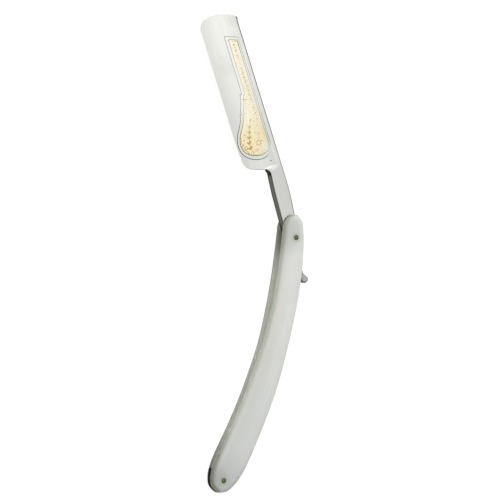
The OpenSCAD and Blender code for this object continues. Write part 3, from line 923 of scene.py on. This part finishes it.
# %% [markdown]
# ## Finishes
#
# Every finish is a small tree of nodes. One function adds a node, sets its properties and
# fills its sockets, either with a value or with a link from an earlier node. Colours are
# written as they would be picked from a screen, and one more function turns them to the
# linear values that light is added up in. A finish is a first colour with thin layers over
# it. Each comes on between two values of a mark, a place or a distance, so the layers can
# be read as the rows of a table.

# %% Build node trees
def linear(colour):
    """A linear colour from an sRGB one such as "#d5d8d3". A link is given back as it is.

    A channel c over 0.04045 becomes ((c + 0.055) / 1.055)^2.4, and a darker one c / 12.92.
    """
    if not isinstance(colour, str):
        return colour
    channels = [int(colour[k : k + 2], 16) / 255 for k in (1, 3, 5)]
    return [c / 12.92 if c <= 0.04045 else ((c + 0.055) / 1.055) ** 2.4 for c in channels] + [1]


def fill(node, sockets):
    """Sets a node's inputs, by name or number, to values or to links from earlier nodes."""
    for key, value in sockets.items():
        if isinstance(value, bpy.types.NodeSocket):
            node.id_data.links.new(value, node.inputs[key])
        else:
            node.inputs[key].default_value = value


def add_node(tree, kind, sockets=None, **settings):
    """Adds a node with its inputs and properties. "Math" stands for ShaderNodeMath."""
    node = tree.nodes.new("ShaderNode" + kind)
    for key, value in settings.items():
        setattr(node, key, value)
    fill(node, sockets or {})
    return node


def new_finish(name, *pieces):
    """Makes a new finish the only one on some pieces.

    Gives its tree, its Principled node, already linked to the output, and the place on the
    piece in metres, which patterns are laid out by.
    """
    finish = bpy.data.materials.new(name)
    finish.use_nodes = True
    tree = finish.node_tree
    tree.nodes.clear()
    surface = add_node(tree, "BsdfPrincipled")
    add_node(tree, "OutputMaterial", {"Surface": surface.outputs["BSDF"]})
    for piece in pieces:
        piece.data.materials.clear()
        piece.data.materials.append(finish)
    return tree, surface, add_node(tree, "TexCoord").outputs["Object"]


def lay_over(tree, under, layers):
    """Lays colours over a first one, in their order, and gives the last mix.

    A layer is (colour, mark, start, end) and may have a share after these. None of the
    colour is there where the mark is at start, and that share of it, or all, from where the
    mark reaches end. Between them it comes on smoothly. A colour can be another mix.
    """
    mix = linear(under)
    for colour, mark, start, end, *share in layers:
        on = {"Value": mark, "From Min": start, "From Max": end, "To Max": share[0] if share else 1}
        amount = add_node(tree, "MapRange", on, interpolation_type="SMOOTHSTEP")
        mixed = {0: amount.outputs[0], 6: mix, 7: linear(colour)}
        mix = add_node(tree, "Mix", mixed, data_type="RGBA").outputs[2]
    return mix


# %% [markdown]
# ### Glazed steel
#
# The blade is carbon steel. Its hollows were ground on a large wheel and then glazed on
# finer and finer ones, so they are bright but not mirrors: they keep faint bands along the
# blade and finer wheel marks across it. A metal's colour is what it reflects, so the base
# colour is a pale grey and the roughness is low. Painted shade darkens it towards the heel,
# the edge, the flat along the back and the tang, a painted highlight brightens the shoulder,
# and it is darker on the tail and at one corner of the point. Over it go the gold wash, the
# etched ornament, the two border lines and the painted shade and dark reflection of the
# flanks, each laid on by its own distance. The wash is worn: it has redder clouds and brown
# specks, which are darkest in the lobe, and it is rubbed off beside the lobe's round end.

# %% Measure places on the steel
BAND_GRAIN = (1.6, 70, 1)  # each grain is its size in millimetres across, along and up
WHEEL_GRAIN = (25, 0.9, 1)  # real wheel marks are finer than a pixel, so these are coarser
CLOUD_GRAIN = (14, 14, 14)
STIPPLE_GRAIN = (0.9, 0.9, 0.9)
DEEP_LINE, FINE_LINE = 0.32, 0.17  # half the etched line's width, deepest at the lobe
PIT_PLACE = (0.9, 42.0, 0)
RUBBED_PLACE = (4.6, 46.5, 0)
LOBE_PLACE = (-13, 52, 0)
CORNER_PLACE = (6, 118, 0)

tree, surface, place = new_finish("glazed_carbon_steel", blade)
to_blade = {"Vector": place, "Rotation": (0, 0, -OPEN_TURN), "Scale": (1 / MM, 1 / MM, 0)}
blade_mm = add_node(tree, "Mapping", to_blade).outputs[0]
across_blade, along_blade = add_node(tree, "SeparateXYZ", {0: blade_mm}).outputs[:2]
height_m = add_node(tree, "SeparateXYZ", {0: place}).outputs[2]
patterns = []
for grain, detail in ((BAND_GRAIN, 3), (WHEEL_GRAIN, 2), (CLOUD_GRAIN, 4), (STIPPLE_GRAIN, 1)):
    scaled = {"Vector": blade_mm, "Scale": [1 / size for size in grain]}
    scaled = add_node(tree, "Mapping", scaled).outputs[0]
    noise = {"Vector": scaled, "Scale": 1, "Detail": detail}
    patterns.append(add_node(tree, "TexNoise", noise).outputs[0])
bands, wheel_marks, clouds, stipple = patterns
flank_shade_mark, highlight_mark, panel_mark, gold_mark, sprig_mark = (
    add_node(tree, "Attribute", attribute_name=name).outputs["Fac"]
    for name in ("flank_shade", "from_painted_highlight", "panel_mm", "gold_mm", "sprig_mm")
)
from_border, from_gold = (
    add_node(tree, "Math", {0: mark}, operation="ABSOLUTE").outputs[0]
    for mark in (panel_mark, gold_mark)
)
from_pit, from_rubbed, from_lobe, from_corner = (
    add_node(tree, "VectorMath", {0: blade_mm, 1: spot}, operation="DISTANCE").outputs["Value"]
    for spot in (PIT_PLACE, RUBBED_PLACE, LOBE_PLACE, CORNER_PLACE)
)
to_lobe = {"Value": from_lobe, "From Min": 26, "From Max": 9, "To Min": FINE_LINE, "To Max": DEEP_LINE}
line_half_w = add_node(tree, "MapRange", to_lobe).outputs[0]
print("Steel patterns:", len(patterns))

# %% Mix the steel
WHEEL_MARK_DEPTH = 0.12  # as a share of the etched line's
ETCH_DEPTH = 0.01
FLANK_ROUGHER = 0.25

# Painted shade: the bare steel is darker towards the heel, towards the edge, on the flat along the back and
# on the tang. It is also darker on the tail and at one corner of the point.
bare = lay_over(tree, "#c8c9c4", [
    ("#bbbcb8", along_blade, 112, 46),  # duller towards the heel
    ("#8a8b88", across_blade, -3.5, -15, 0.3),  # and towards the edge
    ("#8a8b88", across_blade, 3.2, 4.6, 0.16),  # the flat along the back
    ("#b5b6b2", from_corner, 6.5, 2, 0.8),  # a corner of the point
    ("#adaeaa", along_blade, 39, 36.5),  # the tang
    ("#989996", along_blade, -6, -18),  # the tail
    ("#a9aaa5", clouds, 0.45, 0.75, 0.35),  # faint stains
    ("#d0d1cc", bands, 0.45, 0.75, 0.35),  # bright bands
    ("#d6d6d2", highlight_mark, 1.2, 0.4),  # painted highlight on the shoulder
])
specks = lay_over(tree, "#bcb28c", [("#ab7f4a", from_lobe, 14, 5)])
gold = lay_over(tree, "#d3cebd", [
    ("#cfc9b6", along_blade, 100, 74),  # thicker down the strip
    ("#cbc29f", along_blade, 68, 57),  # yellowest in the lobe
    ("#cfcab4", along_blade, 49.5, 46),  # paler at its round end
    ("#dcc6ac", clouds, 0.5, 0.62, 0.3),  # redder clouds
    (specks, stipple, 0.52, 0.66, 0.5),
    ("#cbc9be", from_rubbed, 10, 3, 0.8),  # worn thin round the rubbed place
])
ink = lay_over(tree, "#9a9377", [("#826638", from_lobe, 14, 6)])
pale = lay_over(tree, "#cdcdc6", [("#b9bab0", from_lobe, 26, 9)])
gold_line = lay_over(tree, "#8d8c7c", [("#56563f", from_lobe, 21, 7), ("#626252", along_blade, 86, 100)])
border_line = lay_over(tree, "#6c6f67", [("#262b24", from_lobe, 21, 7)])
gilt = lay_over(tree, bare, [
    (pale, panel_mark, -0.1, -0.4, 0.7),  # the border's own band of etched steel
    (gold, gold_mark, -0.05, -0.5),
    (ink, sprig_mark, 0.14, -0.08, 0.7),
    (gold_line, from_gold, line_half_w, 0.05),
    (border_line, from_border, line_half_w, 0.05),
])
# Painted shade and dark reflection on the flanks, laid into their colour
flank_shade_colour = lay_over(tree, "#2c2c2a", [
    ("#686863", height_m, 0.0033, 0.0052),  # painted reflection: flanks lighter above the lower corner
    ("#4c4c48", height_m, 0.0066, 0.0077, 0.8),  # and darker again under the upper one
    ("#040404", along_blade, 33.2, 35.6),  # painted shade: black in the notch under the shoulder
    ("#2c2c2a", along_blade, 40, 43),  # the back
    ("#0e0e0d", along_blade, 90, 110),  # and its end near the point
])
colour = lay_over(tree, bare, [
    (gilt, from_rubbed, 2, 6),
    (flank_shade_colour, flank_shade_mark, 0, 1),
    ("#5d5c55", from_pit, 0.5, 0.2),  # one rust pit at the shoulder
])
rough = {"Value": bands, "From Min": 0.3, "From Max": 0.7, "To Min": 0.26, "To Max": 0.36}
rough = {0: flank_shade_mark, 1: FLANK_ROUGHER, 2: add_node(tree, "MapRange", rough).outputs[0]}
rough = add_node(tree, "Math", rough, operation="MULTIPLY_ADD").outputs[0]
relief = {"Value": from_border, "From Max": FINE_LINE}
relief = {0: wheel_marks, 1: WHEEL_MARK_DEPTH, 2: add_node(tree, "MapRange", relief).outputs[0]}
relief = add_node(tree, "Math", relief, operation="MULTIPLY_ADD").outputs[0]
bump = add_node(tree, "Bump", {"Strength": 0.5, "Distance": ETCH_DEPTH * MM, "Height": relief}).outputs[0]
fill(surface, {"Base Color": colour, "Metallic": 1.0, "Roughness": rough, "Normal": bump})
print("Nodes in the steel:", len(tree.nodes))

# %% [markdown]
# ### Polished celluloid
#
# The scales look like ivory but are celluloid, a plastic of the time. It was sliced from a
# block of pressed sheets, which leaves faint streaks along the handle, and polished. Light
# goes a little way into it, so it has soft shading and a gentle gloss. Handling wear and
# painted shade darken the rims, most of all towards the foot and on the concave side, and
# painted shade along the concave side stands in for the faces' crown. Brass turns the plastic
# round a pin greenish grey. The inner faces near the pivot carry an oil stain and the painted
# shade of the gap, painted shade darkens the foot's concave edge, and the rims beside the
# wedge are black.

# %% Mix the celluloid
STREAK_GRAIN = (1.8, 60, 10 / 3)
SHEET_GRAIN = (22, 22, 22)
STREAK_BOW = 7.5
BRASS_GREEN = "#b9c09c"

tree, surface, place = new_finish("polished_celluloid", front_scale, back_scale)
handle_mm, flat_mm = (
    add_node(tree, "Mapping", {"Vector": place, "Scale": scale}).outputs[0]
    for scale in ((1 / MM, 1 / MM, 1 / MM), (1 / MM, 1 / MM, 0))
)
axes = add_node(tree, "SeparateXYZ", {0: handle_mm}).outputs
bow = {0: axes[1], 1: math.pi / PIN_SPAN}
bow = {0: add_node(tree, "Math", bow, operation="MULTIPLY").outputs[0]}
bow = {0: add_node(tree, "Math", bow, operation="SINE").outputs[0], 1: STREAK_BOW, 2: axes[0]}
bow = add_node(tree, "Math", bow, operation="MULTIPLY_ADD").outputs[0]
bowed = add_node(tree, "CombineXYZ", {0: bow, 1: axes[1], 2: axes[2]}).outputs[0]
patterns = []
for start, grain, detail in ((bowed, STREAK_GRAIN, 3), (handle_mm, SHEET_GRAIN, 2)):
    scaled = add_node(tree, "Mapping", {"Vector": start, "Scale": [1 / size for size in grain]}).outputs[0]
    noise = {"Vector": scaled, "Scale": 1, "Detail": detail}
    patterns.append(add_node(tree, "TexNoise", noise).outputs[0])
streaks, sheets = patterns
to_foot, to_pivot, to_slot, to_foot_edge_shade = (
    add_node(tree, "VectorMath", {0: flat_mm, 1: spot}, operation="DISTANCE").outputs["Value"]
    for spot in ((0, -PIN_SPAN, 0), (0, 0, 0), (-6, 2, 0), (-4.5, -133, 0))
)
rim_wear_shade_mark, rim_shade_mark, oil_and_shade_mark, black_mark = (
    add_node(tree, "Attribute", attribute_name=name).outputs["Fac"]
    for name in ("rim_wear_shade", "rim", "oil_and_shade", "black_beside_wedge")
)
# Painted shade on the rims over some handling wear, darker towards the foot and beside the blade's slot
handled_and_shaded = lay_over(tree, "#bcc0b7", [("#888a7d", to_foot, 32, 8), ("#a9aca0", to_slot, 18, 5)])
rim_shade_tone = lay_over(tree, "#6f7068", [("#4f5046", to_foot, 40, 10)])
colour = lay_over(tree, "#e5e8e6", [
    ("#dfe2e0", sheets, 0.35, 0.7),  # cloudy sheets
    ("#ecedec", streaks, 0.45, 0.75, 0.6),  # pale streaks
    ("#cacabd", bow, 1, -4, 0.3),  # painted shade along the concave side, for the faces' crown
    ("#d0d4d3", to_foot, 75, 18, 0.5),  # greyer towards the foot
    ("#bbc2c3", to_foot, 22, 1, 0.5),  # and most at the wedge
    ("#c6cbc9", to_slot, 16, 4, 0.75),  # greyer beside the blade's slot
    # painted shade at the foot's concave edge
    ("#a6a9a2", to_foot_edge_shade, 9, 2, 0.4),
    (BRASS_GREEN, to_foot, 3.4, 1.5, 0.5),
    (BRASS_GREEN, to_pivot, 3.4, 1.5, 0.5),
    # painted shade and handling wear on the rims
    (handled_and_shaded, rim_wear_shade_mark, 0, 0.5, 0.85),
    (rim_shade_tone, rim_shade_mark, 0.4, 0.8, 0.85),
    # oil stain with painted shade of the gap near the pivot
    ("#6b6153", oil_and_shade_mark, 0, 1),
    ("#060605", black_mark, 0, 1),
])
rough = add_node(tree, "MapRange", {"Value": streaks, "To Min": 0.26, "To Max": 0.38}).outputs[0]
fill(surface, {"Base Color": colour, "Roughness": rough, "IOR": 1.5})
fill(surface, {"Subsurface Weight": 1, "Subsurface Radius": (2.4, 2.3, 2.15), "Subsurface Scale": MM})
print("Nodes in the celluloid:", len(tree.nodes))

# %% [markdown]
# ### Black horn and old brass
#
# The wedge is black horn, polished with the scales, with hardly seen streaks. The pins and
# collars are brass that has tarnished to an olive brown. The collars are darker still, with
# tarnish and painted shade of the ring round each head, so the heads stay brighter than the
# rings round them. The washers are hidden and have kept the colour of new sheet.

# %% Mix the horn and the brass
HORN_GRAIN = (1.5, 12, 0.5)
TARNISH_SPOT = 0.6

tree, surface, place = new_finish("polished_black_horn", wedge)
streaks = {"Vector": place, "Scale": [1 / (size * MM) for size in HORN_GRAIN]}
streaks = add_node(tree, "Mapping", streaks).outputs[0]
streaks = add_node(tree, "TexNoise", {"Vector": streaks, "Scale": 1, "Detail": 4}).outputs[0]
colour = lay_over(tree, "#060605", [("#15120d", streaks, 0.5, 0.8)])
rough = add_node(tree, "MapRange", {"Value": streaks, "To Min": 0.45, "To Max": 0.6}).outputs[0]
fill(surface, {"Base Color": colour, "Roughness": rough, "IOR": 1.54, "Specular IOR Level": 0.03})

for name, bright, dull, smoothest, pieces in (
    ("pin_head_brass", "#71775f", "#474e40", 0.35, [pivot_pin, wedge_pin]),
    # the collars' darker colour is tarnish and painted shade of the ring round each head
    ("tarnished_shaded_brass", "#4c523f", "#2f3328", 0.45, [p for n, p in rings.items() if "collar" in n]),
    ("brass_sheet", "#d8b25c", "#b08d45", 0.3, [p for n, p in rings.items() if "washer" in n]),
):
    tree, surface, place = new_finish(name, *pieces)
    spots = {"Vector": place, "Scale": 1 / (TARNISH_SPOT * MM), "Detail": 3}
    spots = add_node(tree, "TexNoise", spots).outputs[0]
    colour = lay_over(tree, bright, [(dull, spots, 0.4, 0.7)])
    rough = {"Value": spots, "To Min": smoothest, "To Max": smoothest + 0.2}
    rough = add_node(tree, "MapRange", rough).outputs[0]
    fill(surface, {"Base Color": colour, "Metallic": 1.0, "Roughness": rough})
    print(f"{name}:", [piece.name for piece in pieces])

# %% [markdown]
# ## The table and the light
#
# The photograph has a plain white ground without a shadow. The table is a light table: a
# sheet of white acrylic that glows, so that only a trace of a shadow is left on it. A soft
# box hangs over the blade, which leaves the handle's foot a little darker, and a smaller
# one, beyond the blade's point, brightens the shoulder. The room is bright overhead and up
# the image and dimmer towards the horizon, which models the rounded edges at the left.

# %% Lay the table
TABLE_HALF = 3000
table_corners = np.array([[-1, -1, 0], [1, -1, 0], [1, 1, 0], [-1, 1, 0]]) * TABLE_HALF
table = make_piece("table", table_corners, np.array([[0, 1, 2, 3]]))
tree, surface, place = new_finish("lit_white_acrylic", table)
haze = add_node(tree, "TexNoise", {"Vector": place, "Scale": 4, "Detail": 2}).outputs[0]
colour = lay_over(tree, "#7d7d7b", [("#787876", haze, 0.3, 0.7)])
fill(surface, {"Base Color": colour, "Roughness": 0.7, "Specular IOR Level": 0.1})
fill(surface, {"Emission Color": linear("#ffffff"), "Emission Strength": 0.9})

# %% Set the lights
ROOM_LEAN_RIGHT = math.radians(8)
ROOM_LEAN_UP = math.radians(38)
ROOM_DIM, ROOM_BRIGHT = 0.22, 0.9

# Each row is (name, width, height, watts, place, how far up the image it is aimed), with all
# lengths in millimetres from the pivot.
for name, wide, tall, watts, place, aim_up in (
    ("softbox", 620, 620, 0.95, 120 * across + 150 * image_up + Vector((0, 0, 560)), 40),
    ("shoulder_light", 420, 260, 0.45, 130 * across + 507 * image_up + Vector((0, 0, 390)), 37),
):
    soft = bpy.data.lights.new(name, "AREA")
    soft.shape, soft.size, soft.size_y, soft.energy = "RECTANGLE", wide * MM, tall * MM, watts
    light = bpy.data.objects.new(name, soft)
    light.location = place * MM
    light.rotation_mode = "QUATERNION"
    light.rotation_quaternion = (light.location - image_up * aim_up * MM).to_track_quat("Z", "Y")
    bpy.context.scene.collection.objects.link(light)
    print(name, "at", [round(x, 3) for x in light.location])

room = bpy.data.worlds.new("studio")
bpy.context.scene.world = room
room.use_nodes = True
tree = room.node_tree
tree.nodes.clear()
brightest = Vector((0, 0, 1)) + math.tan(ROOM_LEAN_RIGHT) * across + math.tan(ROOM_LEAN_UP) * image_up
way = {0: add_node(tree, "TexCoord").outputs["Generated"], 1: brightest.normalized()}
facing = add_node(tree, "VectorMath", way, operation="DOT_PRODUCT").outputs["Value"]
strength = {"Value": facing, "From Min": 0, "From Max": 0.8, "To Min": ROOM_DIM, "To Max": ROOM_BRIGHT}
strength = add_node(tree, "MapRange", strength, interpolation_type="SMOOTHSTEP").outputs[0]
tone = lay_over(tree, "#fff2de", [("#ffffff", strength, ROOM_DIM, ROOM_BRIGHT)])
air = add_node(tree, "Background", {"Color": tone, "Strength": strength})
add_node(tree, "OutputWorld", {"Surface": air.outputs[0]})
bpy.context.scene.view_settings.view_transform = "Standard"
